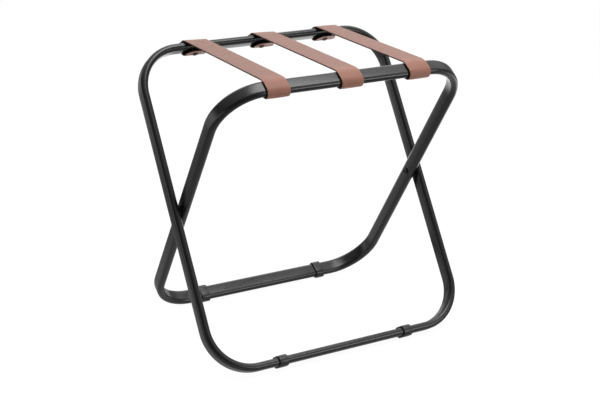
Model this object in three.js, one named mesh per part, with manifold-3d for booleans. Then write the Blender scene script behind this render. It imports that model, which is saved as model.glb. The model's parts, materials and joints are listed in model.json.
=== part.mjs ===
// Folding luggage bench: two closed tube frames crossed on a pivot, carrying three leather straps.
// Millimetres, +Z up, X along the rails, +Y to the back. The origin lies on the floor, under the middle.
import * as THREE from 'three';
import { mergeVertices } from 'three/addons/utils/BufferGeometryUtils.js';
import Module from 'manifold-3d';

const wasm = await Module();
wasm.setup();

// Frames: flat-oval steel tube, its wide way across the plane of the frame.
const OUTER_WIDTH = 548; // over the legs of the outer frame
const RAIL_SPACING = 625; // between the middles of a frame's two rails, along its legs
const LEAN = THREE.MathUtils.degToRad(33.5); // each frame from the upright, with the bench open
const BEND_RADIUS = 84; // corner bends, at the middle of the tube
const TUBE_WIDE = 30;
const TUBE_NARROW = 15;
const TUBE_WALL = 1.2;
const LEG_GAP = 3; // between an outer leg and the inner leg beside it
const FIT_GAP = 0.3; // clearance between two pieces that touch

// Pivots: a shoulder bolt turns in a bush in the inner leg and is screwed into a nut in the outer leg.
const BOLT_DIAMETER = 8;
const BOLT_HEAD_DIAMETER = 13;
const BOLT_HEAD_HEIGHT = 3.6;
const BOLT_CROWN_DIAMETER = 8.4; // flat top of the button head
const BOLT_KEY = 5; // hexagon key, across the flats
const BOLT_KEY_DEPTH = 2;
const THREAD_DIAMETER = 6;
const BUSH_WALL = 1;
const WASHER_DIAMETER = 19;
const NUT_FLANGE_DIAMETER = 13;
const NUT_FLANGE_HEIGHT = 0.6;
const NUT_WALL = 1.2;
const NUT_BULGE = 1.5; // how far the set nut swells out behind the tube wall
const NUT_BULGE_LENGTH = 3;
const NUT_END_ROOM = 3; // between the nut and the far wall of the tube

// Feet: split sleeves snapped over the bottom rails.
const FOOT_INSET = 29.5; // from the start of a rail's bend to the middle of the foot
const FOOT_LENGTH = 18;
const FOOT_WALL = 3.2;
const FOOT_CHAMFER = 0.8;
const FOOT_SLIT = 1.2;
const FOOT_LAND = 7; // width of the flat that stands on the floor

// Straps: leather, laid over the top rails and snapped on to their inside flats.
const STRAP_WIDTH = 44;
const STRAP_THICKNESS = 2.8;
const STRAP_OVERHANG = 1; // how far an outer strap runs on to the rail's bend
const STRAP_ROLL = 34; // bend over the inner edge of the rail, at the middle of the leather
const STRAP_TAIL = 15; // from the press stud to the cut end
const STRAP_CORNER = 18; // rounded corners of the cut end
const STRAP_BEND = 4; // bend beside the press stud, at the middle of the leather

// Press studs: cap and socket clinched through the strap, stud screwed into the rail.
const CAP_DIAMETER = 11;
const CAP_HEIGHT = 2.6;
const CAP_CROWN_DIAMETER = 7;
const POST_DIAMETER = 3;
const SOCKET_DIAMETER = 9.6;
const SOCKET_HEIGHT = 2.2;
const SOCKET_PLATE = 0.6;
const KNOB_DIAMETER = 4.6;
const STUD_FLANGE_DIAMETER = 8;
const STUD_FLANGE_HEIGHT = 0.6;
const STUD_SCREW_DIAMETER = 3.4;
const STUD_SCREW_LENGTH = 7;

// Fineness of the round stretches.
const BEND_STEPS = 9;
const TUBE_STEPS = 7;
const STRAP_STEPS = 7;
const TURN_STEPS = 12;

// Places that follow from the sizes above.
const tubeRadius = TUBE_NARROW / 2;
const tubeHalfFlat = (TUBE_WIDE - TUBE_NARROW) / 2;
const outerLeg = OUTER_WIDTH / 2 - tubeRadius;
const innerLeg = outerLeg - TUBE_NARROW - LEG_GAP;
const footRadius = tubeRadius + FIT_GAP + FOOT_WALL;
const railHeight = tubeHalfFlat * Math.sin(LEAN) + Math.sqrt(footRadius ** 2 - (FOOT_LAND / 2) ** 2);
const pivotHeight = railHeight + (RAIL_SPACING / 2) * Math.cos(LEAN);
const straightEnd = innerLeg - BEND_RADIUS; // where the inner frame's rails start to bend
const footOffset = straightEnd - FOOT_INSET;
const strapOffset = straightEnd + STRAP_OVERHANG - STRAP_WIDTH / 2;
const strapPlaces = { left: -strapOffset, middle: 0, right: strapOffset };

// The leather stands off the tube by as much as its roll needs to clear the inner edge of the rail.
const leatherMiddle = tubeRadius + STRAP_THICKNESS / 2;
const rollShare = 1 / Math.cos(LEAN / 2) - 1;
const strapStandOff = (FIT_GAP + rollShare * (STRAP_ROLL - leatherMiddle)) / (1 + rollShare);

const materials = {
  powderCoat: new THREE.MeshStandardMaterial({ color: 0x2c2c2e, roughness: 0.5, metalness: 0.1 }),
  blackSteel: new THREE.MeshStandardMaterial({ color: 0x1d1d1f, roughness: 0.4, metalness: 0.6 }),
  zincSteel: new THREE.MeshStandardMaterial({ color: 0xb9bcc0, roughness: 0.35, metalness: 1 }),
  blackNylon: new THREE.MeshStandardMaterial({ color: 0x202021, roughness: 0.65, metalness: 0 }),
  footRubber: new THREE.MeshStandardMaterial({ color: 0x252526, roughness: 0.7, metalness: 0 }),
  leather: new THREE.MeshStandardMaterial({ color: 0xa8806f, roughness: 0.6, metalness: 0 }),
};

// A body through a row of sections, each a ring of as many points, closed on itself or capped at its ends.
function loft(sections, closed) {
  const sides = sections[0].length;
  const rows = sections.length;
  const corner = (row, side) => (row % rows) * sides + (side % sides);
  const index = [];
  for (let row = 0; row < (closed ? rows : rows - 1); row += 1) {
    for (let side = 0; side < sides; side += 1) {
      index.push(corner(row, side), corner(row, side + 1), corner(row + 1, side + 1));
      index.push(corner(row, side), corner(row + 1, side + 1), corner(row + 1, side));
    }
  }
  for (let side = 1; side < sides - 1 && !closed; side += 1) {
    index.push(corner(0, 0), corner(0, side + 1), corner(0, side));
    index.push(corner(rows - 1, 0), corner(rows - 1, side), corner(rows - 1, side + 1));
  }
  const geometry = new THREE.BufferGeometry().setFromPoints(sections.flat());
  geometry.setIndex(index);
  return geometry;
}

// A flat-oval outline with ends of a given radius, as points across and along its wide way.
function flatOval(radius, steps) {
  const outline = [];
  for (const end of [1, -1]) {
    for (let step = 0; step <= steps; step += 1) {
      const angle = end * (Math.PI / 2) - Math.PI / 2 + Math.PI * (step / steps);
      outline.push([radius * Math.cos(angle), end * tubeHalfFlat + radius * Math.sin(angle)]);
    }
  }
  return outline;
}

// A turned body: its profile holds [radius, height] points and turns about +Z.
function turned(profile) {
  const points = profile.map(([radius, height]) => new THREE.Vector2(radius, height));
  return new THREE.LatheGeometry(points, TURN_STEPS).rotateX(Math.PI / 2);
}

function toSolid(geometry) {
  const bare = geometry.clone();
  bare.deleteAttribute('normal');
  bare.deleteAttribute('uv');
  const merged = mergeVertices(bare, 1e-4);
  return new wasm.Manifold(new wasm.Mesh({
    numProp: 3,
    vertProperties: new Float32Array(merged.attributes.position.array),
    triVerts: new Uint32Array(merged.index.array),
  }));
}

function cut(geometry, cutters) {
  let solid = toSolid(geometry);
  for (const cutter of cutters) {
    solid = solid.subtract(toSolid(cutter));
  }
  const mesh = solid.getMesh();
  const result = new THREE.BufferGeometry();
  result.setAttribute('position', new THREE.BufferAttribute(mesh.vertProperties, 3));
  result.setIndex(new THREE.BufferAttribute(mesh.triVerts, 1));
  return result;
}

// A drill from one height to another along +Z.
function drill(diameter, from, to) {
  const length = to - from;
  const cylinder = new THREE.CylinderGeometry(diameter / 2, diameter / 2, length, TURN_STEPS);
  return cylinder.rotateX(Math.PI / 2).translate(0, 0, from + length / 2);
}

function place(parent, name, geometry, material) {
  geometry.computeVertexNormals();
  const mesh = new THREE.Mesh(geometry, material);
  mesh.name = name;
  parent.add(mesh);
  return mesh;
}

// Frame group: X along the rails, Z along the legs, the pivot at its origin.
function frameGroup(lean) {
  const group = new THREE.Group();
  group.position.z = pivotHeight;
  group.rotation.x = lean;
  return group;
}

// The closed loop of tube, with ends of a given radius on its flat-oval section.
function frameLoop(legOffset, radius) {
  const outline = flatOval(radius, TUBE_STEPS);
  const sections = [];
  for (let quarter = 0; quarter < 4; quarter += 1) {
    for (let step = 0; step <= BEND_STEPS; step += 1) {
      const angle = (quarter + step / BEND_STEPS) * (Math.PI / 2);
      const across = Math.cos(angle);
      const along = Math.sin(angle);
      const sideX = quarter === 0 || quarter === 3 ? 1 : -1;
      const sideZ = quarter < 2 ? 1 : -1;
      const cornerX = sideX * (legOffset - BEND_RADIUS);
      const cornerZ = sideZ * (RAIL_SPACING / 2 - BEND_RADIUS);
      sections.push(outline.map(([a, b]) => new THREE.Vector3(
        cornerX + (BEND_RADIUS + a) * across,
        b,
        cornerZ + (BEND_RADIUS + a) * along,
      )));
    }
  }
  return loft(sections, true);
}

// Holes in the inside flat of the top rail for the screws of the press studs.
function studHoles() {
  const face = RAIL_SPACING / 2 - tubeRadius;
  return Object.values(strapPlaces).map((x) => {
    const hole = drill(STUD_SCREW_DIAMETER + 2 * FIT_GAP, face - TUBE_WALL, face + 2 * TUBE_WALL);
    return hole.translate(x, 0, 0);
  });
}

// Hollow tube loop with its holes.
function frameTube(legOffset, holes) {
  const bore = frameLoop(legOffset, tubeRadius - TUBE_WALL);
  return cut(frameLoop(legOffset, tubeRadius), [bore, ...holes, ...studHoles()]);
}

// Turns a body made along +Z so that it points along X, out of the bench, on the left or the right.
function alongX(geometry, side) {
  return geometry.rotateY(side * (Math.PI / 2));
}

const innerFace = innerLeg - tubeRadius; // inside of the inner leg
const spaceStart = innerLeg + tubeRadius; // outside of the inner leg
const outerFace = outerLeg - tubeRadius; // inside of the outer leg
const bushDiameter = BOLT_DIAMETER + 2 * FIT_GAP + 2 * BUSH_WALL;
const nutBodyDiameter = THREAD_DIAMETER + 2 * FIT_GAP + 2 * NUT_WALL;
const nutEnd = outerFace + TUBE_NARROW - TUBE_WALL - NUT_END_ROOM;

function boltGeometry() {
  const seat = innerFace - FIT_GAP;
  const shoulderEnd = outerFace - 2 * FIT_GAP - NUT_FLANGE_HEIGHT;
  const body = turned([
    [0, seat - BOLT_HEAD_HEIGHT],
    [BOLT_CROWN_DIAMETER / 2, seat - BOLT_HEAD_HEIGHT],
    [BOLT_HEAD_DIAMETER / 2, seat - BOLT_HEAD_HEIGHT / 3],
    [BOLT_HEAD_DIAMETER / 2, seat],
    [BOLT_DIAMETER / 2, seat],
    [BOLT_DIAMETER / 2, shoulderEnd],
    [THREAD_DIAMETER / 2, shoulderEnd],
    [THREAD_DIAMETER / 2, nutEnd],
    [0, nutEnd],
  ]);
  const keyRadius = BOLT_KEY / 2 / Math.cos(Math.PI / 6);
  const key = new THREE.CylinderGeometry(keyRadius, keyRadius, 2 * BOLT_KEY_DEPTH, 6);
  key.rotateX(Math.PI / 2).translate(0, 0, seat - BOLT_HEAD_HEIGHT);
  return cut(body, [key]);
}

function bushGeometry() {
  const bore = BOLT_DIAMETER / 2 + FIT_GAP;
  return turned([
    [bore, innerFace],
    [bushDiameter / 2, innerFace],
    [bushDiameter / 2, spaceStart],
    [bore, spaceStart],
    [bore, innerFace],
  ]);
}

function washerGeometry() {
  const bore = BOLT_DIAMETER / 2 + FIT_GAP;
  const start = spaceStart + FIT_GAP;
  const end = outerFace - 2 * FIT_GAP - NUT_FLANGE_HEIGHT;
  return turned([
    [bore, start],
    [WASHER_DIAMETER / 2, start],
    [WASHER_DIAMETER / 2, end],
    [bore, end],
    [bore, start],
  ]);
}

function nutGeometry() {
  const bore = THREAD_DIAMETER / 2 + FIT_GAP;
  const flangeEnd = outerFace - FIT_GAP;
  const bulgeStart = outerFace + TUBE_WALL + FIT_GAP;
  return turned([
    [bore, flangeEnd - NUT_FLANGE_HEIGHT],
    [NUT_FLANGE_DIAMETER / 2, flangeEnd - NUT_FLANGE_HEIGHT],
    [NUT_FLANGE_DIAMETER / 2, flangeEnd],
    [nutBodyDiameter / 2, flangeEnd],
    [nutBodyDiameter / 2, bulgeStart],
    [nutBodyDiameter / 2 + NUT_BULGE, bulgeStart],
    [nutBodyDiameter / 2, bulgeStart + NUT_BULGE_LENGTH],
    [nutBodyDiameter / 2, nutEnd],
    [bore, nutEnd],
    [bore, flangeEnd - NUT_FLANGE_HEIGHT],
  ]);
}

// Split sleeve round a bottom rail, with its flat on the floor. The slit faces the back of the bench.
function footGeometry(lean) {
  const half = FOOT_LENGTH / 2;
  const profile = [
    [half, FIT_GAP],
    [-half, FIT_GAP],
    [-half, FIT_GAP + FOOT_WALL - FOOT_CHAMFER],
    [FOOT_CHAMFER - half, FIT_GAP + FOOT_WALL],
    [half - FOOT_CHAMFER, FIT_GAP + FOOT_WALL],
    [half, FIT_GAP + FOOT_WALL - FOOT_CHAMFER],
  ];
  const rings = profile.map(([x, offset]) => flatOval(tubeRadius + offset, TUBE_STEPS)
    .map(([a, b]) => new THREE.Vector3(x, b, a)));
  const sections = rings[0].map((_, spot) => rings.map((ring) => ring[spot]));
  const reach = 2 * TUBE_WIDE;
  const floor = new THREE.BoxGeometry(2 * FOOT_LENGTH, 2 * reach, reach);
  floor.translate(0, 0, -railHeight - reach / 2).rotateX(-lean);
  const slit = new THREE.BoxGeometry(2 * FOOT_LENGTH, reach, FOOT_SLIT);
  slit.translate(0, reach / 2 + tubeHalfFlat, 0);
  return cut(loft(sections, true), [floor, slit]);
}

// Press stud stack under the rail's inside flat, as distances from the middle of the tube.
const flangeSeat = tubeRadius + FIT_GAP;
const socketSeat = flangeSeat + STUD_FLANGE_HEIGHT + FIT_GAP;
const strapSeat = socketSeat + SOCKET_HEIGHT + FIT_GAP;
const capSeat = strapSeat + STRAP_THICKNESS + FIT_GAP;
const postBore = POST_DIAMETER / 2 + FIT_GAP;
const knobBore = KNOB_DIAMETER / 2 + FIT_GAP;
const knobEnd = socketSeat + SOCKET_HEIGHT - SOCKET_PLATE - FIT_GAP;

function studGeometry() {
  return turned([
    [0, flangeSeat - STUD_SCREW_LENGTH],
    [STUD_SCREW_DIAMETER / 2, flangeSeat - STUD_SCREW_LENGTH + STUD_SCREW_DIAMETER / 2],
    [STUD_SCREW_DIAMETER / 2, flangeSeat],
    [STUD_FLANGE_DIAMETER / 2, flangeSeat],
    [STUD_FLANGE_DIAMETER / 2, flangeSeat + STUD_FLANGE_HEIGHT],
    [KNOB_DIAMETER / 2, flangeSeat + STUD_FLANGE_HEIGHT],
    [KNOB_DIAMETER / 2, knobEnd],
    [0, knobEnd],
  ]);
}

function socketGeometry() {
  const end = socketSeat + SOCKET_HEIGHT;
  return turned([
    [knobBore, socketSeat],
    [SOCKET_DIAMETER / 2, socketSeat],
    [SOCKET_DIAMETER / 2, end],
    [postBore, end],
    [postBore, end - SOCKET_PLATE],
    [knobBore, end - SOCKET_PLATE],
    [knobBore, socketSeat],
  ]);
}

function capGeometry() {
  return turned([
    [0, strapSeat - FIT_GAP - SOCKET_PLATE],
    [POST_DIAMETER / 2, strapSeat - FIT_GAP - SOCKET_PLATE],
    [POST_DIAMETER / 2, capSeat],
    [CAP_DIAMETER / 2, capSeat],
    [CAP_DIAMETER / 2, capSeat + CAP_HEIGHT / 3],
    [CAP_CROWN_DIAMETER / 2, capSeat + CAP_HEIGHT],
    [0, capSeat + CAP_HEIGHT],
  ]);
}

// Strap path round the back rail, in the tube's own axes: s along the wide way, towards the bench's
// middle, and h from the middle of the tube out through the inside flat. Each stop has a place, the
// direction of the leather's outer face and the distance left to the cut end.
function strapEnd() {
  const wrap = leatherMiddle + strapStandOff;
  const tail = strapSeat + STRAP_THICKNESS / 2;
  const bendStart = -SOCKET_DIAMETER / 2;
  const run = tubeHalfFlat + bendStart;
  const rise = tail - STRAP_BEND;
  const leave = Math.acos((wrap - STRAP_BEND) / Math.hypot(rise, run)) - Math.atan2(run, rise);
  const stops = [];
  for (let step = 0; step <= STRAP_STEPS; step += 1) {
    const left = STRAP_CORNER * (1 - Math.cos((step / STRAP_STEPS) * (Math.PI / 2)));
    stops.push({ s: STRAP_TAIL - left, h: tail, facing: Math.PI / 2, left });
  }
  const arc = (s, h, radius, from, to) => {
    for (let step = 0; step <= STRAP_STEPS; step += 1) {
      const facing = from + (to - from) * (step / STRAP_STEPS);
      const place = { s: s + radius * Math.cos(facing), h: h + radius * Math.sin(facing) };
      stops.push({ ...place, facing, left: STRAP_CORNER });
    }
  };
  arc(bendStart, rise, STRAP_BEND, Math.PI / 2, Math.PI / 2 + leave);
  arc(-tubeHalfFlat, 0, wrap, Math.PI / 2 + leave, 1.5 * Math.PI);
  const deckHeight = tubeHalfFlat * Math.sin(LEAN) + wrap; // over the middle of the rail
  const rollDepth = STRAP_ROLL - wrap;
  const rollStart = (deckHeight - STRAP_ROLL + rollDepth * Math.cos(LEAN)) / Math.sin(LEAN);
  arc(rollStart, rollDepth, STRAP_ROLL, 1.5 * Math.PI, 1.5 * Math.PI + LEAN);
  return stops;
}

function strapGeometry() {
  const sin = Math.sin(LEAN);
  const cos = Math.cos(LEAN);
  const railY = (RAIL_SPACING / 2) * sin;
  const railZ = pivotHeight + (RAIL_SPACING / 2) * cos;
  const toBench = (s, h) => [-s * cos - h * sin, s * sin - h * cos];
  const backHalf = strapEnd().map(({ s, h, facing, left }) => {
    const [y, z] = toBench(s, h);
    const [outY, outZ] = toBench(Math.cos(facing), Math.sin(facing));
    const inset = STRAP_CORNER - Math.sqrt(STRAP_CORNER ** 2 - (STRAP_CORNER - left) ** 2);
    return { y: railY + y, z: railZ + z, outY, outZ, half: STRAP_WIDTH / 2 - inset };
  });
  const frontHalf = backHalf.map((stop) => ({ ...stop, y: -stop.y, outY: -stop.outY })).reverse();
  const section = ({ y, z, outY, outZ, half }) => {
    const reach = STRAP_THICKNESS / 2;
    const corners = [[-half, reach], [-half, -reach], [half, -reach], [half, reach]];
    return corners.map(([x, out]) => new THREE.Vector3(x, y + out * outY, z + out * outZ));
  };
  const ribbon = loft([...backHalf, ...frontHalf].map(section), false);
  const hole = (lean) => {
    const bore = drill(2 * postBore, strapSeat - FIT_GAP, capSeat).rotateX(Math.PI);
    return bore.translate(0, 0, RAIL_SPACING / 2).rotateX(lean).translate(0, 0, pivotHeight);
  };
  return cut(ribbon, [hole(-LEAN), hole(LEAN)]);
}

const bench = new THREE.Group();
const outerGroup = frameGroup(-LEAN);
const innerGroup = frameGroup(LEAN);
bench.add(outerGroup, innerGroup);

// Outer frame: a hole in the inside of each leg takes the nut.
const nutHoles = [1, -1].map((side) => alongX(
  drill(nutBodyDiameter + 2 * FIT_GAP, outerFace - TUBE_WALL, outerFace + 2 * TUBE_WALL),
  side,
));
place(outerGroup, 'outer_frame', frameTube(outerLeg, nutHoles), materials.powderCoat);

// Inner frame: a hole right through each leg takes the bush.
const bushHoles = [1, -1].map((side) => alongX(
  drill(bushDiameter + 2 * FIT_GAP, innerFace - TUBE_WALL, spaceStart + TUBE_WALL),
  side,
));
place(innerGroup, 'inner_frame', frameTube(innerLeg, bushHoles), materials.powderCoat);

for (const [name, side] of [['left', -1], ['right', 1]]) {
  place(outerGroup, `pivot_bolt_${name}`, alongX(boltGeometry(), side), materials.blackSteel);
  place(innerGroup, `pivot_bush_${name}`, alongX(bushGeometry(), side), materials.blackNylon);
  place(outerGroup, `pivot_washer_${name}`, alongX(washerGeometry(), side), materials.blackNylon);
  place(outerGroup, `pivot_nut_${name}`, alongX(nutGeometry(), side), materials.zincSteel);
  for (const [end, group, lean] of [['front', outerGroup, -LEAN], ['back', innerGroup, LEAN]]) {
    const foot = place(group, `foot_${end}_${name}`, footGeometry(lean), materials.footRubber);
    foot.position.set(side * footOffset, 0, -RAIL_SPACING / 2);
  }
}

for (const [name, x] of Object.entries(strapPlaces)) {
  place(bench, `strap_${name}`, strapGeometry(), materials.leather).position.x = x;
  for (const [end, group] of [['back', outerGroup], ['front', innerGroup]]) {
    const stack = new THREE.Group();
    stack.position.set(x, 0, RAIL_SPACING / 2);
    stack.rotation.x = Math.PI;
    group.add(stack);
    place(stack, `snap_stud_${end}_${name}`, studGeometry(), materials.zincSteel);
    place(stack, `snap_socket_${end}_${name}`, socketGeometry(), materials.zincSteel);
    place(stack, `snap_cap_${end}_${name}`, capGeometry(), materials.blackSteel);
  }
}

export default bench;
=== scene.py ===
import json
import math

import bmesh
import bpy
from mathutils import Matrix, Vector


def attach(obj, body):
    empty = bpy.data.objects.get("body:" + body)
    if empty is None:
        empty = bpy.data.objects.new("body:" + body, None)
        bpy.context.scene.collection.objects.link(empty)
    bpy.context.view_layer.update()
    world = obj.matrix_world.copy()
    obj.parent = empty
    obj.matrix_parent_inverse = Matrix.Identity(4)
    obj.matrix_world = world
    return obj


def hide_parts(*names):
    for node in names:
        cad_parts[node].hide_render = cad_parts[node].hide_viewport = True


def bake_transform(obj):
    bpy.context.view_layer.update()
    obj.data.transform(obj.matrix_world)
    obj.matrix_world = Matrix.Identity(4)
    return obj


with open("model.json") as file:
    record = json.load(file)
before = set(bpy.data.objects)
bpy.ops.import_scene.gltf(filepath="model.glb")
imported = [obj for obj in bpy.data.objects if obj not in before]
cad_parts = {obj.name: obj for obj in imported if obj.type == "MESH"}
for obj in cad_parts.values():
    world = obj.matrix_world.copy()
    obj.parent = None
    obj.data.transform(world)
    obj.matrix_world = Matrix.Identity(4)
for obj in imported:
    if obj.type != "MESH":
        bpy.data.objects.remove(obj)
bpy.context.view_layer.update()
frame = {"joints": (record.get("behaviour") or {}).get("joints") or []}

# Frames: two closed loops of flat-oval steel tube, bent at the corners, welded shut and powder coated
# in satin black. The outer frame's top rail is at the back, the inner frame's at the front.
PIVOT_HEIGHT = frame["joints"][0]["pos_m"][2]
LEAN = math.radians(33.5)
RAIL_REACH = 0.3125
BEND_RADIUS = 0.084
BEND_STEPS = 28
TUBE_WIDE = 0.030
TUBE_NARROW = 0.015
TUBE_RADIUS = TUBE_NARROW / 2
NOSE_STEPS = 10
LEG_GAP = 0.003
OUTER_LEG = 0.2665
INNER_LEG = OUTER_LEG - TUBE_NARROW - LEG_GAP
SEAM_REACH = 1e-6


class Finish:
    """A socket in a material's node tree. Sums with it add Math nodes, and add() makes any other node."""

    def __init__(self, tree, socket=None):
        self.tree = tree
        self.socket = socket

    def add(self, kind, settings, sockets, output=0):
        node = self.tree.nodes.new(kind)
        for name, value in settings.items():
            setattr(node, name, value)
        for name, value in sockets.items():
            if isinstance(value, Finish):
                self.tree.links.new(value.socket, node.inputs[name])
            else:
                node.inputs[name].default_value = value
        return Finish(self.tree, node.outputs[output] if node.outputs else None)

    def maths(self, operation, first, second):
        return self.add("ShaderNodeMath", {"operation": operation}, {0: first, 1: second})

    def mix(self, share, first, second):
        sockets = {0: share, 6: first, 7: second}
        return self.add("ShaderNodeMix", {"data_type": "RGBA"}, sockets, output=2)

    def __add__(self, other):
        return self.maths("ADD", self, other)

    def __sub__(self, other):
        return self.maths("SUBTRACT", self, other)

    def __rsub__(self, other):
        return self.maths("SUBTRACT", other, self)

    def __mul__(self, other):
        return self.maths("MULTIPLY", self, other)

    __radd__ = __add__
    __rmul__ = __mul__


def new_finish(name):
    """An empty material, and the coordinates of the piece that wears it."""
    material = bpy.data.materials.new(name)
    material.use_nodes = True
    material.node_tree.nodes.clear()
    start = Finish(material.node_tree)
    return material, start.add("ShaderNodeTexCoord", {}, {}, output="Object")


def noise(place, scale, detail, output="Fac"):
    sockets = {"Vector": place, "Scale": scale, "Detail": detail}
    return place.add("ShaderNodeTexNoise", {}, sockets, output)


def close_finish(place, surface, height, depth):
    """The shader: the values and links of its sockets, and the bump of a height field, in metres."""
    bump = place.add("ShaderNodeBump", {}, {"Height": height, "Distance": depth})
    shader = place.add("ShaderNodeBsdfPrincipled", {}, {**surface, "Normal": bump})
    place.add("ShaderNodeOutputMaterial", {}, {"Surface": shader})


def powder_coat():
    """Satin black powder coat: fine orange peel, a little cloudiness in the gloss."""
    material, place = new_finish("powder_coat")
    peel = noise(place, scale=1000.0, detail=1.0)
    cloud = noise(place, scale=14.0, detail=3.0)
    fleck = noise(place, scale=2600.0, detail=0.0)
    colour = place.mix(cloud, (0.0075, 0.0075, 0.0078, 1), (0.0105, 0.0105, 0.0108, 1))
    surface = {"Base Color": colour, "Roughness": 0.21 + 0.06 * cloud + 0.04 * fleck}
    close_finish(place, surface, peel, depth=0.00006)
    return material


def new_tree(name, inputs):
    """An empty node tree that takes and gives a shape, and its inputs by name, each with its kind."""
    tree = bpy.data.node_groups.new(name, "GeometryNodeTree")
    tree.interface.new_socket("Geometry", in_out="INPUT", socket_type="NodeSocketGeometry")
    for title, kind in inputs.items():
        tree.interface.new_socket(title, in_out="INPUT", socket_type="NodeSocket" + kind)
    tree.interface.new_socket("Geometry", in_out="OUTPUT", socket_type="NodeSocketGeometry")
    return tree, tree.nodes.new("NodeGroupInput").outputs


def close_tree(tree, given, shape):
    """Makes a shape plain mesh, coats it with the finish that is given, and hands it out."""
    realized = tree.nodes.new("GeometryNodeRealizeInstances")
    finished = tree.nodes.new("GeometryNodeSetMaterial")
    result = tree.nodes.new("NodeGroupOutput")
    tree.links.new(shape, realized.inputs["Geometry"])
    tree.links.new(realized.outputs["Geometry"], finished.inputs["Geometry"])
    tree.links.new(given["Finish"], finished.inputs["Material"])
    tree.links.new(finished.outputs["Geometry"], result.inputs["Geometry"])


def sweep_tree():
    """Sweeps a rounded bar along a path: the path is the object's own mesh, drawn flat in X and Y."""
    tree, given = new_tree("rounded_bar_along_path", {
        "Across": "Float",
        "Through": "Float",
        "Corner": "Float",
        "Corner Steps": "Int",
        "Finish": "Material",
    })
    path = tree.nodes.new("GeometryNodeMeshToCurve")
    bar = tree.nodes.new("GeometryNodeCurvePrimitiveQuadrilateral")
    rounded = tree.nodes.new("GeometryNodeFilletCurve")
    swept = tree.nodes.new("GeometryNodeCurveToMesh")
    joined = tree.nodes.new("GeometryNodeMergeByDistance")
    smooth = tree.nodes.new("GeometryNodeSetShadeSmooth")
    rounded.mode = "POLY"
    swept.inputs["Fill Caps"].default_value = True
    joined.inputs["Distance"].default_value = SEAM_REACH
    link = tree.links.new
    link(given["Geometry"], path.inputs["Mesh"])
    link(given["Across"], bar.inputs["Width"])
    link(given["Through"], bar.inputs["Height"])
    link(bar.outputs["Curve"], rounded.inputs["Curve"])
    link(given["Corner"], rounded.inputs["Radius"])
    link(given["Corner Steps"], rounded.inputs["Count"])
    link(path.outputs["Curve"], swept.inputs["Curve"])
    link(rounded.outputs["Curve"], swept.inputs["Profile Curve"])
    link(swept.outputs["Mesh"], joined.inputs["Geometry"])
    link(joined.outputs["Geometry"], smooth.inputs["Geometry"])
    close_tree(tree, given, smooth.outputs["Geometry"])
    return tree


def new_piece(name, points, edges=(), faces=()):
    mesh = bpy.data.meshes.new(name)
    mesh.from_pydata(points, edges, faces)
    piece = bpy.data.objects.new(name, mesh)
    bpy.context.scene.collection.objects.link(piece)
    return piece


def settle(piece):
    """Turns a piece's modifiers into its plain mesh."""
    bpy.context.view_layer.update()
    graph = bpy.context.evaluated_depsgraph_get()
    mesh = bpy.data.meshes.new_from_object(piece.evaluated_get(graph))
    piece.modifiers.clear()
    piece.data = mesh
    mesh.name = piece.name


def run_tree(piece, tree, inputs):
    """Runs a node tree on a piece with its named inputs, and keeps the plain mesh."""
    modifier = piece.modifiers.new(tree.name, "NODES")
    modifier.node_group = tree
    for socket in tree.interface.items_tree:
        if socket.in_out == "INPUT" and socket.name in inputs:
            modifier[socket.identifier] = inputs[socket.name]
    piece.update_tag()
    settle(piece)


def frame_matrix(lean):
    """From a frame drawn flat, its legs along Y, to its place: leaning by so much to the back."""
    return Matrix.Translation((0, 0, PIVOT_HEIGHT)) @ Matrix.Rotation(math.pi / 2 - lean, 4, "X")


def loop_points(leg):
    """The middle of a frame's tube: four quarter bends, joined by the straight legs and rails."""
    points = []
    for quarter in range(4):
        side_x = 1 if quarter in (0, 3) else -1
        side_y = 1 if quarter < 2 else -1
        for step in range(BEND_STEPS + 1):
            angle = (quarter + step / BEND_STEPS) * math.pi / 2
            x = side_x * (leg - BEND_RADIUS) + BEND_RADIUS * math.cos(angle)
            y = side_y * (RAIL_REACH - BEND_RADIUS) + BEND_RADIUS * math.sin(angle)
            points.append((x, y, 0))
    return points


coat = powder_coat()
bar_tree = sweep_tree()
for name, body, leg, lean in (
    ("outer_tube", "outer", OUTER_LEG, LEAN),
    ("inner_tube", "inner", INNER_LEG, -LEAN),
):
    points = loop_points(leg)
    ring = [(spot, (spot + 1) % len(points)) for spot in range(len(points))]
    tube = new_piece(name, points, ring)
    run_tree(tube, bar_tree, {
        "Across": TUBE_NARROW,
        "Through": TUBE_WIDE,
        "Corner": TUBE_RADIUS,
        "Corner Steps": NOSE_STEPS,
        "Finish": coat,
    })
    tube.data.transform(frame_matrix(lean))
    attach(tube, body)
    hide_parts(body + "_frame")

# Feet: four split sleeves of black rubber, snapped over the bottom rails from below. Each has a slit in
# its back nose, rounded rims, and a narrow flat where it stands on the floor.
FOOT_INSET = 0.0295
FOOT_OFFSET = INNER_LEG - BEND_RADIUS - FOOT_INSET
FOOT_LENGTH = 0.018
FOOT_WALL = 0.0032
FOOT_RIM = 0.0009
FOOT_RIM_STEPS = 4
FOOT_SLIT = 0.0012
FOOT_STEPS = 16
FIT_GAP = 0.0003
HALF_FLAT = (TUBE_WIDE - TUBE_NARROW) / 2


def black_rubber():
    """Moulded rubber: smooth and satin, finely grained, a little uneven in its gloss."""
    material, place = new_finish("black_rubber")
    grain = noise(place, scale=1800.0, detail=2.0)
    dust = noise(place, scale=120.0, detail=4.0)
    colour = place.mix(dust, (0.008, 0.008, 0.0085, 1), (0.013, 0.013, 0.0135, 1))
    surface = {"Base Color": colour, "Roughness": 0.24 + 0.16 * dust}
    close_finish(place, surface, grain, depth=0.00004)
    return material


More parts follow.
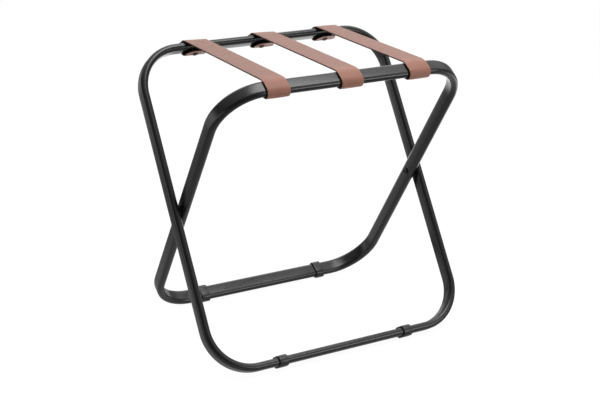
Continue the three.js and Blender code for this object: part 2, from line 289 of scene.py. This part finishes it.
def sleeve_points():
    """The middle of the sleeve's wall, from one lip of the slit round the tube to the other lip."""
    radius = TUBE_RADIUS + FIT_GAP + FOOT_WALL / 2
    lip = math.asin(FOOT_SLIT / 2 / radius)
    points = []
    for middle, start, end in (
        (HALF_FLAT, lip, math.pi / 2),
        (-HALF_FLAT, math.pi / 2, 1.5 * math.pi),
        (HALF_FLAT, 1.5 * math.pi, 2 * math.pi - lip),
    ):
        for step in range(FOOT_STEPS + 1):
            angle = start + (end - start) * step / FOOT_STEPS
            points.append((middle + radius * math.cos(angle), radius * math.sin(angle), 0))
    return points


rubber = black_rubber()
for end, body, lean in (("front", "outer", LEAN), ("back", "inner", -LEAN)):
    for side, sign in (("left", -1), ("right", 1)):
        points = sleeve_points()
        wall = [(spot, spot + 1) for spot in range(len(points) - 1)]
        foot = new_piece(f"sleeve_{end}_{side}", points, wall)
        run_tree(foot, bar_tree, {
            "Across": FOOT_WALL,
            "Through": FOOT_LENGTH,
            "Corner": FOOT_RIM,
            "Corner Steps": FOOT_RIM_STEPS,
            "Finish": rubber,
        })
        along_rail = Matrix(((0, 0, 1, 0), (0, 1, 0, 0), (-1, 0, 0, 0), (0, 0, 0, 1)))
        on_rail = Matrix.Translation((sign * FOOT_OFFSET, -RAIL_REACH, 0))
        foot.data.transform(frame_matrix(lean) @ on_rail @ along_rail)
        for point in foot.data.vertices:
            point.co.z = max(point.co.z, 0)
        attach(foot, body)
        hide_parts(f"foot_{end}_{side}")

# Pivots: in each pair of legs a black shoulder bolt turns in a nylon bush, with a nylon washer between
# the legs, and is screwed into a zinc rivet nut in the outer leg. Its button head, with a hexagon socket,
# is on the inside of the inner leg.
TUBE_WALL = 0.0012
INNER_FACE = INNER_LEG - TUBE_RADIUS
INNER_BACK = INNER_LEG + TUBE_RADIUS
OUTER_FACE = OUTER_LEG - TUBE_RADIUS
EDGE_BREAK = 0.0002
NUT_FLANGE = 0.0065
NUT_FLANGE_HEIGHT = 0.0006
NUT_FLANGE_BREAK = 0.00015
NUT_FLANGE_END = OUTER_FACE - FIT_GAP
NUT_FLANGE_START = NUT_FLANGE_END - NUT_FLANGE_HEIGHT
NUT_BULGE = 0.0015
NUT_BULGE_LENGTH = 0.003
NUT_BULGE_START = OUTER_FACE + TUBE_WALL + FIT_GAP
NUT_BULGE_STEPS = 6
NUT_WALL = 0.0012
NUT_END_ROOM = 0.003
BOLT_HEAD = 0.0065
BOLT_CROWN = 0.0036
BOLT_CROWN_FLAT = 0.004
BOLT_SHANK = 0.004
BOLT_THREAD = 0.003
BOLT_SEAT = INNER_FACE - FIT_GAP
SHOULDER_END = NUT_FLANGE_START - FIT_GAP
THREAD_END = OUTER_FACE + TUBE_NARROW - TUBE_WALL - NUT_END_ROOM
KEY_SIDES = 6
KEY_RADIUS = 0.00289
KEY_DEPTH = 0.002
KEY_TIP = 0.0008
BUSH_WALL = 0.001
WASHER_RADIUS = 0.0095


def black_steel():
    """Blackened steel: dark, satin, with fine turning marks."""
    material, place = new_finish("black_steel")
    marks = noise(place, scale=2200.0, detail=2.0)
    wear = noise(place, scale=300.0, detail=3.0)
    colour = place.mix(wear, (0.018, 0.018, 0.019, 1), (0.034, 0.033, 0.033, 1))
    surface = {"Base Color": colour, "Roughness": 0.3 + 0.15 * wear, "Metallic": 0.35}
    close_finish(place, surface, marks, depth=0.00004)
    return material


def black_nylon():
    """Moulded nylon: black, slightly waxy."""
    material, place = new_finish("black_nylon")
    grain = noise(place, scale=1500.0, detail=3.0)
    colour = place.mix(grain, (0.014, 0.014, 0.015, 1), (0.024, 0.024, 0.024, 1))
    surface = {"Base Color": colour, "Roughness": 0.42 + 0.12 * grain}
    close_finish(place, surface, grain, depth=0.00005)
    return material


def zinc_steel():
    """Zinc plate: pale grey metal with faint spangle."""
    material, place = new_finish("zinc_steel")
    spangle = noise(place, scale=700.0, detail=3.0)
    colour = place.mix(spangle, (0.46, 0.47, 0.49, 1), (0.62, 0.63, 0.64, 1))
    surface = {"Base Color": colour, "Roughness": 0.28 + 0.14 * spangle, "Metallic": 1.0}
    close_finish(place, surface, spangle, depth=0.00003)
    return material


def turned(profile, turns=40):
    """Points and faces of a turned body: (radius, height) points about Z, closed at the axis."""
    points, faces, rows = [], [], []
    for radius, height in profile:
        if radius == 0:
            rows.append([len(points)] * turns)
            points.append((0, 0, height))
            continue
        rows.append(list(range(len(points), len(points) + turns)))
        for spot in range(turns):
            angle = 2 * math.pi * spot / turns
            points.append((radius * math.cos(angle), radius * math.sin(angle), height))
    for low, high in zip(rows, rows[1:]):
        for spot in range(turns):
            after = (spot + 1) % turns
            corners = [low[spot], low[after], high[after], high[spot]]
            faces.append(list(dict.fromkeys(corners)))
    return points, faces


def shade_smooth(piece, crease=math.radians(32)):
    """Closes the seams, turns all faces outwards, and shades smoothly but for the crisp edges."""
    shape = bmesh.new()
    shape.from_mesh(piece.data)
    bmesh.ops.remove_doubles(shape, verts=shape.verts, dist=SEAM_REACH)
    bmesh.ops.recalc_face_normals(shape, faces=shape.faces)
    shape.to_mesh(piece.data)
    shape.free()
    piece.data.polygons.foreach_set("use_smooth", [True] * len(piece.data.polygons))
    piece.data.set_sharp_from_angle(angle=crease)


def dome(edge, crown, start, end, steps):
    """A rounded profile from an edge radius at one height to a crown radius at the next."""
    points = []
    for step in range(steps + 1):
        angle = math.pi / 2 * step / steps
        radius = crown + (edge - crown) * math.cos(angle)
        points.append((radius, start + (end - start) * math.sin(angle)))
    return points


def ring_profile(start, end, bore, outside):
    """A plain ring from one height to another, with broken edges."""
    return [
        (bore, start + EDGE_BREAK),
        (bore + EDGE_BREAK, start),
        (outside - EDGE_BREAK, start),
        (outside, start + EDGE_BREAK),
        (outside, end - EDGE_BREAK),
        (outside - EDGE_BREAK, end),
        (bore + EDGE_BREAK, end),
        (bore, end - EDGE_BREAK),
        (bore, start + EDGE_BREAK),
    ]


def bolt_profile():
    """A button head with a flat crown, the shoulder that turns in the bush, and the thread."""
    crown = BOLT_SEAT - BOLT_CROWN
    head = dome(BOLT_HEAD, BOLT_CROWN_FLAT, BOLT_SEAT - BOLT_CROWN / 3, crown, steps=6)
    return [
        (0, crown),
        *reversed(head),
        (BOLT_HEAD, BOLT_SEAT - EDGE_BREAK),
        (BOLT_HEAD - EDGE_BREAK, BOLT_SEAT),
        (BOLT_SHANK, BOLT_SEAT),
        (BOLT_SHANK, SHOULDER_END),
        (BOLT_THREAD, SHOULDER_END),
        (BOLT_THREAD, THREAD_END),
        (0, THREAD_END),
    ]


def nut_profile():
    """A thin flange, the body through the tube's wall, and the swelling that holds it from behind."""
    bore = BOLT_THREAD + FIT_GAP
    body = bore + NUT_WALL
    profile = [
        (bore, NUT_FLANGE_START),
        (NUT_FLANGE - NUT_FLANGE_BREAK, NUT_FLANGE_START),
        (NUT_FLANGE, NUT_FLANGE_START + NUT_FLANGE_BREAK),
        (NUT_FLANGE, NUT_FLANGE_END - NUT_FLANGE_BREAK),
        (NUT_FLANGE - NUT_FLANGE_BREAK, NUT_FLANGE_END),
        (body, NUT_FLANGE_END),
        (body, NUT_BULGE_START),
    ]
    for step in range(NUT_BULGE_STEPS + 1):
        share = step / NUT_BULGE_STEPS
        swell = NUT_BULGE * (1 + math.cos(share * math.pi)) / 2
        profile.append((body + swell, NUT_BULGE_START + share * NUT_BULGE_LENGTH))
    return profile + [(body, THREAD_END), (bore, THREAD_END), (bore, NUT_FLANGE_START)]


def sink_key(bolt):
    """Cuts the hexagon socket into the crown."""
    crown = BOLT_SEAT - BOLT_CROWN
    points, faces = turned([
        (0, crown + KEY_DEPTH + KEY_TIP),
        (KEY_RADIUS, crown + KEY_DEPTH),
        (KEY_RADIUS, crown - KEY_DEPTH),
        (0, crown - KEY_DEPTH),
    ], KEY_SIDES)
    key = new_piece("key", points, (), faces)
    shade_smooth(key)
    socket = bolt.modifiers.new("socket", "BOOLEAN")
    socket.object = key
    socket.solver = "EXACT"
    settle(bolt)
    bpy.data.objects.remove(key)


def body_matrix(lean):
    """From a piece drawn about the pivot, on an upright body, to its place on the leaning body."""
    return Matrix.Translation((0, 0, PIVOT_HEIGHT)) @ Matrix.Rotation(-lean, 4, "X")


steel = black_steel()
nylon = black_nylon()
zinc = zinc_steel()
bolt_bore = BOLT_SHANK + FIT_GAP
washer_profile = ring_profile(INNER_BACK + FIT_GAP, SHOULDER_END, bolt_bore, WASHER_RADIUS)
bush_profile = ring_profile(INNER_FACE, INNER_BACK, bolt_bore, bolt_bore + BUSH_WALL)
for side, sign in (("left", -1), ("right", 1)):
    for name, body, lean, profile, finish, slot in (
        ("bolt", "outer", LEAN, bolt_profile(), steel, "black_steel"),
        ("washer", "outer", LEAN, washer_profile, nylon, "black_nylon"),
        ("bush", "inner", -LEAN, bush_profile, nylon, "black_nylon"),
        ("nut", "outer", LEAN, nut_profile(), zinc, "zinc_steel"),
    ):
        points, faces = turned(profile)
        fastener = new_piece(f"{name}_{side}", points, (), faces)
        shade_smooth(fastener)
        if name == "bolt":
            sink_key(fastener)
            shade_smooth(fastener)
        outward = Matrix.Rotation(sign * math.pi / 2, 4, "Y")
        fastener.data.transform(body_matrix(lean) @ outward)
        fastener.data.materials.clear()
        fastener.data.materials.append(finish)
        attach(fastener, body)
        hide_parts(f"pivot_{name}_{side}")

# Straps: three bands of brown leather with a black lining and black painted edges. Each runs across both
# top rails, round their outsides and back under them, to a rounded end that is held by a press stud. They
# lie slightly askew, and a little loose behind the back rail.
STRAP_WIDTH = 0.044
STRAP_THICKNESS = 0.0028
STRAP_EDGE = 0.0010
STRAP_CROWN = 0.0003
STRAP_ROLL = 0.034
STRAP_BEND = 0.004
STRAP_TAIL = 0.015
STRAP_CORNER = 0.018
STRAP_OVERHANG = 0.001
STRAP_OFFSET = INNER_LEG - BEND_RADIUS + STRAP_OVERHANG - STRAP_WIDTH / 2
STRAP_STEPS = 14
DECK_STEPS = 48
FACE_COLUMNS = 10
EDGE_STEPS = 3
BROWN_FROM = 0.85 * STRAP_THICKNESS / 2
CREASE_ANGLE = math.radians(50)
SLACK_START = 0.1
SLACK_END = 0.8
# Reach and inset of the paler band near each bend over a rail: partly pulled leather, partly a painted
# highlight.
PULL_HIGHLIGHT_REACH = 0.014
PULL_HIGHLIGHT_INSET = 0.008
RAIL_Y = RAIL_REACH * math.sin(LEAN)
RAIL_Z = PIVOT_HEIGHT + RAIL_REACH * math.cos(LEAN)
STUD_SEAT = TUBE_RADIUS + FIT_GAP
STUD_FLANGE_HEIGHT = 0.0006
SOCKET_RADIUS = 0.0048
SOCKET_HEIGHT = 0.0022
SOCKET_SEAT = STUD_SEAT + STUD_FLANGE_HEIGHT + FIT_GAP
STRAP_SEAT = SOCKET_SEAT + SOCKET_HEIGHT + FIT_GAP


def brown_leather():
    """Smooth-grained cowhide: small pebbles with fine creases between them, uneven dye, and paler near the
    bends over the rails, partly from the pull on the leather and partly as a painted highlight.
    """
    material, place = new_finish("brown_leather")
    warp = noise(place, scale=160.0, detail=2.0, output="Color")
    shift = {0: warp, 1: (0.0016, 0.0016, 0.0016), 2: place}
    warped = place.add("ShaderNodeVectorMath", {"operation": "MULTIPLY_ADD"}, shift)
    cell = {"Vector": warped, "Scale": 950.0}
    pebble = place.add("ShaderNodeTexVoronoi", {"feature": "DISTANCE_TO_EDGE"}, cell, output="Distance")
    crease = place.add("ShaderNodeMapRange", {}, {"Value": pebble, "From Min": 0.0, "From Max": 0.16})
    cloud = noise(place, scale=38.0, detail=4.0)
    fibre = noise(place, scale=420.0, detail=3.0)
    # Painted highlight, partly real: the leather is mixed towards a paler brown near the bends over the
    # rails.
    pull_and_highlight = place.add("ShaderNodeAttribute", {"attribute_name": "pull_and_highlight"}, {}, output="Fac")
    tone = place.mix(cloud, (0.330, 0.133, 0.084, 1), (0.400, 0.168, 0.109, 1))
    tone = place.mix(0.5 * pull_and_highlight, tone, (0.520, 0.218, 0.142, 1))
    tone = place.mix(0.12 * fibre, tone, (0.19, 0.080, 0.052, 1))
    tone = place.mix(0.3 - 0.3 * crease, tone, (0.17, 0.072, 0.048, 1))
    surface = {
        "Base Color": tone,
        "Roughness": 0.45 + 0.12 * cloud - 0.06 * crease,
        "Sheen Weight": 0.25,
        "Sheen Roughness": 0.35,
        "Sheen Tint": (1.0, 0.88, 0.86, 1),
    }
    close_finish(place, surface, crease + 0.5 * fibre, depth=0.00010)
    return material


def black_lining():
    """The strap's back and edges: black split leather, matt, edges sealed with black paint."""
    material, place = new_finish("black_lining")
    nap = noise(place, scale=1600.0, detail=4.0)
    patch = noise(place, scale=60.0, detail=3.0)
    colour = place.mix(patch, (0.009, 0.008, 0.008, 1), (0.020, 0.018, 0.017, 1))
    surface = {"Base Color": colour, "Roughness": 0.62 + 0.2 * nap}
    close_finish(place, surface, nap, depth=0.00012)
    return material


def strap_stops():
    """Half the path at the back rail, in the tube's axes, from the cut end to the deck.

    Each stop has its place along the flat and out through it, the way that the outer face looks, and
    half the width and thickness of the leather there.
    """
    stand_share = 1 / math.cos(LEAN / 2) - 1
    middle = TUBE_RADIUS + STRAP_THICKNESS / 2
    wrap = middle + (FIT_GAP + stand_share * (STRAP_ROLL - middle)) / (1 + stand_share)
    tail = STRAP_SEAT + STRAP_THICKNESS / 2
    rise = tail - STRAP_BEND
    run = HALF_FLAT - SOCKET_RADIUS
    leave = math.acos((wrap - STRAP_BEND) / math.hypot(rise, run)) - math.atan2(run, rise)
    roll_depth = STRAP_ROLL - wrap
    deck = HALF_FLAT * math.sin(LEAN) + wrap
    roll_start = (deck - STRAP_ROLL + roll_depth * math.cos(LEAN)) / math.sin(LEAN)
    stops = []
    for step in range(STRAP_STEPS + 1):
        inset = STRAP_CORNER * (1 - math.cos(step / STRAP_STEPS * math.pi / 2))
        narrow = STRAP_CORNER - math.sqrt(STRAP_CORNER ** 2 - (STRAP_CORNER - inset) ** 2)
        rim = STRAP_EDGE - min(inset, STRAP_EDGE)
        reach = STRAP_THICKNESS / 2 - STRAP_EDGE + math.sqrt(STRAP_EDGE ** 2 - rim ** 2)
        stops.append((STRAP_TAIL - inset, tail, math.pi / 2, STRAP_WIDTH / 2 - narrow, reach))
    for s, h, radius, start, end in (
        (-SOCKET_RADIUS, rise, STRAP_BEND, math.pi / 2, math.pi / 2 + leave),
        (-HALF_FLAT, 0, wrap, math.pi / 2 + leave, 1.5 * math.pi),
        (roll_start, roll_depth, STRAP_ROLL, 1.5 * math.pi, 1.5 * math.pi + LEAN),
    ):
        for step in range(STRAP_STEPS + 1):
            facing = start + (end - start) * step / STRAP_STEPS
            on_flat = s + radius * math.cos(facing)
            off_flat = h + radius * math.sin(facing)
            stops.append((on_flat, off_flat, facing, STRAP_WIDTH / 2, STRAP_THICKNESS / 2))
    return stops


def to_bench(s, h):
    """From the tube's axes at the back rail to Y and Z of the bench."""
    return (-s * math.cos(LEAN) - h * math.sin(LEAN), s * math.sin(LEAN) - h * math.cos(LEAN))


def strap_path():
    """The whole path in the bench's axes, the deck divided into even steps."""
    back = []
    for s, h, facing, half, reach in strap_stops():
        y, z = to_bench(s, h)
        out = to_bench(math.cos(facing), math.sin(facing))
        back.append((RAIL_Y + y, RAIL_Z + z, out, half, reach))
    front = [(-y, z, (-out[0], out[1]), half, reach) for y, z, out, half, reach in reversed(back)]
    deck_start, deck_height = back[-1][:2]
    deck_end = front[0][0]
    deck = []
    for step in range(1, DECK_STEPS):
        y = deck_start + (deck_end - deck_start) * step / DECK_STEPS
        deck.append((y, deck_height, (0, 1), STRAP_WIDTH / 2, STRAP_THICKNESS / 2))
    return back + deck + front


def strap_section(half, reach):
    """The section as points: how far across, how far out, and whether a brown face starts there."""
    edge = min(STRAP_EDGE, reach)
    flat = half - edge
    crown = STRAP_CROWN * reach / (STRAP_THICKNESS / 2)
    section = []
    for column in range(FACE_COLUMNS + 1):
        share = 2 * column / FACE_COLUMNS - 1
        section.append((share * flat, reach + crown * (1 - share ** 2), column < FACE_COLUMNS))
    for middle_across, middle_out, start, brown in (
        (flat, reach - edge, math.pi / 2, (True, True, False, False)),
        (flat, edge - reach, 0, (False, False, False, False)),
        (-flat, edge - reach, -math.pi / 2, (False, False, False, False)),
        (-flat, reach - edge, -math.pi, (False, True, True, True)),
    ):
        for step in range(EDGE_STEPS + 1):
            angle = start - math.pi / 2 * step / EDGE_STEPS
            across = middle_across + edge * math.cos(angle)
            section.append((across, middle_out + edge * math.sin(angle), brown[step]))
    return section


def clamp(value):
    return min(max(value, 0), 1)


def slack_share(across, out_y, out_z):
    """How loose the leather is, from 0 to 1: it stands off the back of the back rail at its left edge."""
    behind = clamp((out_y - SLACK_START) / (1 - SLACK_START))
    below = clamp(-out_z / SLACK_END)
    return behind * (1 - below) * (0.5 - across / STRAP_WIDTH)


def strap_points(path, x, slip_back, slip_front, slack):
    """The points of one strap, and at each of them how much paler the leather is near a bend over a rail,
    partly from the pull and partly as a painted highlight.
    """
    deck_height = path[len(path) // 2][1]
    points, pulls_and_highlights = [], []
    for y, z, (out_y, out_z), half, reach in path:
        # Paler near each bend over a rail: partly pulled leather, partly a painted highlight.
        from_bend = math.dist((abs(y), z), (RAIL_Y - PULL_HIGHLIGHT_INSET, deck_height))
        to_front = clamp((RAIL_Y - y) / (2 * RAIL_Y))
        middle = x + slip_back + (slip_front - slip_back) * to_front
        for across, out, _ in strap_section(half, reach):
            away = out + slack * slack_share(across, out_y, out_z)
            points.append((middle + across, y + away * out_y, z + away * out_z))
            pulls_and_highlights.append(math.exp(-(from_bend / PULL_HIGHLIGHT_REACH) ** 2))
    return points, pulls_and_highlights


def strap_faces(path):
    """The faces between the sections and over the two ends, and which finish each has."""
    leather_finish, lining_finish = range(2)
    brown = [starts for _, _, starts in strap_section(STRAP_WIDTH / 2, STRAP_THICKNESS / 2)]
    sides = len(brown)
    faces, finishes = [], []
    reaches = [reach for *_, reach in path]
    for row, thinner in enumerate(map(min, reaches, reaches[1:])):
        low = row * sides
        high = low + sides
        for side in range(sides):
            after = (side + 1) % sides
            faces.append((low + side, low + after, high + after, high + side))
            outside = brown[side] and thinner > BROWN_FROM
            finishes.append(leather_finish if outside else lining_finish)
    for row in (0, len(path) - 1):
        faces.append(range(row * sides, (row + 1) * sides))
        finishes.append(lining_finish)
    return faces, finishes


leather = brown_leather()
lining = black_lining()
path = strap_path()
faces, finishes = strap_faces(path)
for name, x, slip_back, slip_front, slack in (
    ("left", -STRAP_OFFSET, 0.001, -0.0035, 0.0075),
    ("middle", 0, 0.005, -0.002, 0.0075),
    ("right", STRAP_OFFSET, 0.002, -0.005, 0.0045),
):
    points, pulls_and_highlights = strap_points(path, x, slip_back, slip_front, slack)
    strap = new_piece(f"leather_strap_{name}", points, (), faces)
    strap.data.materials.append(leather)
    strap.data.materials.append(lining)
    strap.data.polygons.foreach_set("material_index", finishes)
    # Keeps the paler band near the bends, partly a painted highlight, on the leather's points.
    strap.data.attributes.new("pull_and_highlight", "FLOAT", "POINT").data.foreach_set("value", pulls_and_highlights)
    shade_smooth(strap, CREASE_ANGLE)
    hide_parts(f"strap_{name}")
    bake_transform(strap)

# Press studs: three on the inside flat of each top rail. A zinc stud is screwed into the rail, and a zinc
# socket and a black domed cap are clinched through the end of the strap.
STUD_FLANGE = 0.004
STUD_FLANGE_SLOPE = 0.0001
SCREW_RADIUS = 0.0017
SCREW_LENGTH = 0.007
KNOB_RADIUS = 0.0023
KNOB_NECK = 0.0021
KNOB_NECK_HEIGHT = 0.0003
KNOB_TOP = 0.0019
KNOB_ROUNDING = 0.0006
SOCKET_RIM = 0.0003
SOCKET_PLATE = 0.0006
POST_RADIUS = 0.0015
CAP_RADIUS = 0.0055
CAP_HEIGHT = 0.0026
CAP_RIM = 0.0003
CAP_SEAT = STRAP_SEAT + STRAP_THICKNESS + FIT_GAP
STUD_TURNS = 32
STUDS_IN_ROW = 3


def row_tree():
    """Sets copies of the object's own mesh in a row."""
    tree, given = new_tree("row_along_rail", {
        "Count": "Int",
        "First": "Vector",
        "Step": "Vector",
        "Finish": "Material",
    })
    line = tree.nodes.new("GeometryNodeMeshLine")
    row = tree.nodes.new("GeometryNodeInstanceOnPoints")
    link = tree.links.new
    link(given["Count"], line.inputs["Count"])
    link(given["First"], line.inputs["Start Location"])
    link(given["Step"], line.inputs["Offset"])
    link(line.outputs["Mesh"], row.inputs["Points"])
    link(given["Geometry"], row.inputs["Instance"])
    close_tree(tree, given, row.outputs["Instances"])
    return tree


def cap_profile():
    """A post through the leather, and a domed cap on it."""
    post_end = STRAP_SEAT - FIT_GAP - SOCKET_PLATE
    return [
        (0, post_end),
        (POST_RADIUS, post_end),
        (POST_RADIUS, CAP_SEAT),
        (CAP_RADIUS - CAP_RIM, CAP_SEAT),
        (CAP_RADIUS, CAP_SEAT + CAP_RIM),
        *dome(CAP_RADIUS, 0, CAP_SEAT + CAP_HEIGHT / 3, CAP_SEAT + CAP_HEIGHT, steps=8),
    ]


def socket_profile():
    """A cup that snaps over the knob, with a hole for the post in its plate."""
    knob_bore = KNOB_RADIUS + FIT_GAP
    post_bore = POST_RADIUS + FIT_GAP
    end = SOCKET_SEAT + SOCKET_HEIGHT
    return [
        (knob_bore, SOCKET_SEAT),
        (SOCKET_RADIUS - SOCKET_RIM, SOCKET_SEAT),
        (SOCKET_RADIUS, SOCKET_SEAT + SOCKET_RIM),
        (SOCKET_RADIUS, end - SOCKET_RIM),
        (SOCKET_RADIUS - SOCKET_RIM, end),
        (post_bore, end),
        (post_bore, end - SOCKET_PLATE),
        (knob_bore, end - SOCKET_PLATE),
        (knob_bore, SOCKET_SEAT),
    ]


def stud_profile():
    """A screw with a pointed end, a flange, and a knob with a narrow neck."""
    flange_end = STUD_SEAT + STUD_FLANGE_HEIGHT
    knob_end = SOCKET_SEAT + SOCKET_HEIGHT - SOCKET_PLATE - FIT_GAP
    return [
        (0, STUD_SEAT - SCREW_LENGTH),
        (SCREW_RADIUS, STUD_SEAT - SCREW_LENGTH + SCREW_RADIUS),
        (SCREW_RADIUS, STUD_SEAT),
        (STUD_FLANGE - EDGE_BREAK, STUD_SEAT),
        (STUD_FLANGE, STUD_SEAT + EDGE_BREAK),
        (STUD_FLANGE, flange_end - STUD_FLANGE_SLOPE),
        (KNOB_RADIUS, flange_end),
        (KNOB_NECK, flange_end + KNOB_NECK_HEIGHT),
        (KNOB_RADIUS, knob_end - KNOB_ROUNDING),
        (KNOB_TOP, knob_end),
        (0, knob_end),
    ]


stud_row = row_tree()
for end, body, lean in (("back", "outer", LEAN), ("front", "inner", -LEAN)):
    for kind, profile, finish, slot in (
        ("cap", cap_profile(), steel, "black_steel"),
        ("socket", socket_profile(), zinc, "zinc_steel"),
        ("stud", stud_profile(), zinc, "zinc_steel"),
    ):
        points, faces = turned(profile, STUD_TURNS)
        stud = new_piece(f"press_{kind}s_{end}", points, (), faces)
        shade_smooth(stud)
        downward = Matrix.Rotation(math.pi, 4, "X")
        on_rail = Matrix.Translation((0, 0, RAIL_REACH))
        stud.data.transform(body_matrix(lean) @ on_rail @ downward)
        run_tree(stud, stud_row, {
            "Count": STUDS_IN_ROW,
            "First": (-STRAP_OFFSET, 0, 0),
            "Step": (STRAP_OFFSET, 0, 0),
            "Finish": finish,
        })
        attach(stud, body)
        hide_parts(*[f"snap_{kind}_{end}_{side}" for side in ("left", "middle", "right")])

# Studio: a pale floor that runs out to a white background, a large soft lamp overhead, a low one in front
# on the right, one behind on the right, and light from all round that is weaker on the left and low down,
# but for a pale strip on the left that shows in reflections.
FLOOR_REACH = 9
FLOOR_GLOW = 1.14
FLOOR_GLOW_SHARE = 0.84
ROUND_LIGHT = 0.52
ROUND_SHINE = 0.9
PALE_SIDE = (-0.95, 0.3, 0.0)


def ease(value, start, end, low, high):
    """A smooth step of a value between two places, from one level to another."""
    sockets = {"Value": value, "From Min": start, "From Max": end, "To Min": low, "To Max": high}
    return value.add("ShaderNodeMapRange", {"interpolation_type": "SMOOTHSTEP"}, sockets)


def along(place, direction):
    """How far a place lies in a direction."""
    sockets = {0: place, 1: direction}
    return place.add("ShaderNodeVectorMath", {"operation": "DOT_PRODUCT"}, sockets, output="Value")


def floor_paper():
    """White paper, as bright as the background to the eye.

    In reflections it is brighter on the right and near the bench, and pale far out on the left.
    """
    material, place = new_finish("floor_paper")
    seen = place.add("ShaderNodeLightPath", {}, {}, output="Is Camera Ray")
    mirrored = place.add("ShaderNodeLightPath", {}, {}, output="Is Glossy Ray")
    pulp = noise(place, scale=3.0, detail=2.0)
    white = place.mix(pulp, (0.80, 0.80, 0.80, 1), (0.83, 0.83, 0.83, 1))
    matt = place.add("ShaderNodeBsdfDiffuse", {}, {"Color": white})
    lit = ease(along(place, (0.8, 0.6, 0.0)), start=0.15, end=0.85, low=0.27, high=2.3)
    away = place.add("ShaderNodeVectorMath", {"operation": "LENGTH"}, {0: place}, output="Value")
    near = ease(away, start=0.2, end=0.9, low=0.3, high=0.0)
    far = ease(away, start=1.2, end=2.6, low=1.0, high=0.15)
    pale = ease(along(place, PALE_SIDE), start=1.2, end=2.4, low=0.0, high=0.7)
    shine = FLOOR_GLOW * seen + mirrored * (lit * far + near + pale)
    glow = place.add("ShaderNodeEmission", {}, {"Color": (1, 1, 1, 1), "Strength": shine})
    share = FLOOR_GLOW_SHARE * seen + mirrored
    surface = place.add("ShaderNodeMixShader", {}, {0: share, 1: matt, 2: glow})
    place.add("ShaderNodeOutputMaterial", {}, {"Surface": surface})
    return material


def light_all_round():
    """Light from everywhere, strongest from the back right and above, but plain white to the eye."""
    world = bpy.data.worlds.new("studio")
    world.use_nodes = True
    world.node_tree.nodes.clear()
    sky = Finish(world.node_tree)
    seen = sky.add("ShaderNodeLightPath", {}, {}, output="Is Camera Ray")
    mirrored = sky.add("ShaderNodeLightPath", {}, {}, output="Is Glossy Ray")
    way = sky.add("ShaderNodeTexCoord", {}, {}, output="Generated")
    fall = ease(along(way, (0.75, 0.6, 0.3)), start=-0.65, end=0.95, low=0.15, high=1.0)
    rise = ease(along(way, (0, 0, 1)), start=0.15, end=0.7, low=0.2, high=1.0)
    pale = ease(along(way, PALE_SIDE), start=0.7, end=0.9, low=0.0, high=1.4)
    low_down = ease(along(way, (0, 0, 1)), start=0.08, end=0.25, low=1.0, high=0.0)
    around = fall * rise * (ROUND_LIGHT + ROUND_SHINE * mirrored) + pale * low_down * mirrored
    shine = seen + (1 - seen) * around
    backdrop = sky.add("ShaderNodeBackground", {}, {"Color": (1, 1, 1, 1), "Strength": shine})
    sky.add("ShaderNodeOutputWorld", {}, {"Surface": backdrop})
    return world


scene = bpy.context.scene
scene.view_settings.view_transform = "Standard"
scene.world = light_all_round()
floor_corners = [(x * FLOOR_REACH, y * FLOOR_REACH, 0) for x, y in ((-1, -1), (1, -1), (1, 1), (-1, 1))]
floor = new_piece("floor", floor_corners, (), [(0, 1, 2, 3)])
floor.data.materials.append(floor_paper())
for name, wide, tall, watts, spot, aim, spin in (
    ("softbox", 1.2, 1.3, 26.0, (0.39, -0.4, 2.3), (0.39, -0.39, 0.5), math.radians(37)),
    ("panel", 1.3, 0.8, 16.5, (1.15, -2.2, 0.6), (0.0, -0.15, 0.4), 0.0),
    ("backlight", 1.7, 1.0, 7.0, (0.85, 1.6, 1.4), (0.0, 0.0, 0.75), 0.0),
):
    light = bpy.data.lights.new(name, "AREA")
    light.shape = "RECTANGLE"
    light.size = wide
    light.size_y = tall
    light.energy = watts
    lamp = bpy.data.objects.new(name, light)
    scene.collection.objects.link(lamp)
    turn_to = (Vector(aim) - Vector(spot)).to_track_quat("-Z", "Y").to_matrix().to_4x4()
    lamp.matrix_world = Matrix.Translation(spot) @ turn_to @ Matrix.Rotation(spin, 4, "Z")
    lamp.visible_camera = False

# Camera: a long lens in front on the left, a little above the bench. Its place, turn and focal length
# were fitted to the outlines of both frames in the photograph.
FOCAL = 74.483
SENSOR = 36
DISTANCE = 2.406864
TARGET = Vector((-0.004029, -0.003603, 0.25507))
TURN = math.radians(28.728)
TILT = math.radians(19.878)
ROLL = math.radians(0.337)
SIGHT_END = 50

ahead = Vector((math.sin(TURN) * math.cos(TILT), math.cos(TURN) * math.cos(TILT), -math.sin(TILT)))
level = Vector((math.cos(TURN), -math.sin(TURN), 0))
upright = level.cross(ahead)
right = math.cos(ROLL) * level + math.sin(ROLL) * upright
up = math.cos(ROLL) * upright - math.sin(ROLL) * level
lens = bpy.data.cameras.new("camera")
lens.sensor_width = SENSOR
lens.lens = FOCAL
lens.clip_end = SIGHT_END
camera = bpy.data.objects.new("camera", lens)
scene.collection.objects.link(camera)
stand = Matrix((right, up, -ahead)).transposed().to_4x4()
stand.translation = TARGET - ahead * DISTANCE
camera.matrix_world = stand
scene.camera = camera
